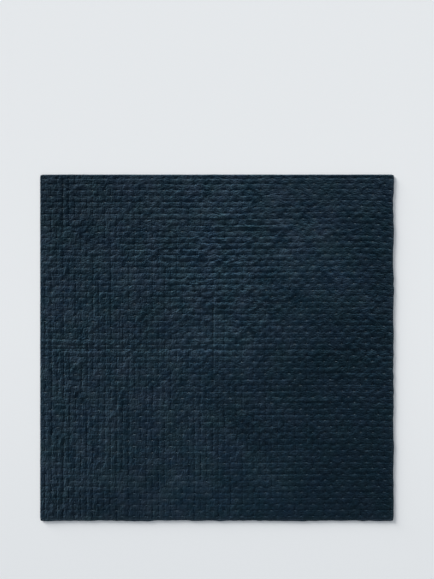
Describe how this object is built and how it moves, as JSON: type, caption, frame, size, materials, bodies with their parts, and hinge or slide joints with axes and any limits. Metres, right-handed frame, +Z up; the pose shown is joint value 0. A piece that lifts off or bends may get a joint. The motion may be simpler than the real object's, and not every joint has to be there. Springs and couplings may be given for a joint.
{
  "type": "quilt",
  "caption": "Square velvet quilt lying flat, tacked in a chessboard lattice of small dimples and puffs, with a soft rolled self edge.",
  "frame": {"origin": "on the surface that the quilt lies on, under the middle of its outline", "axes": "+X across the quilt, along its longer side; +Y towards the head end; +Z up, out of the velvet face"},
  "size_m": [2.5, 2.45, 0.0191],
  "materials": {
    "velvet": "dark navy cotton velvet, short crushed pile with a soft sheen, tacked with tonal thread"
  },
  "bodies": {
    "root": {"quilt": "velvet"}
  },
  "joints": []
}
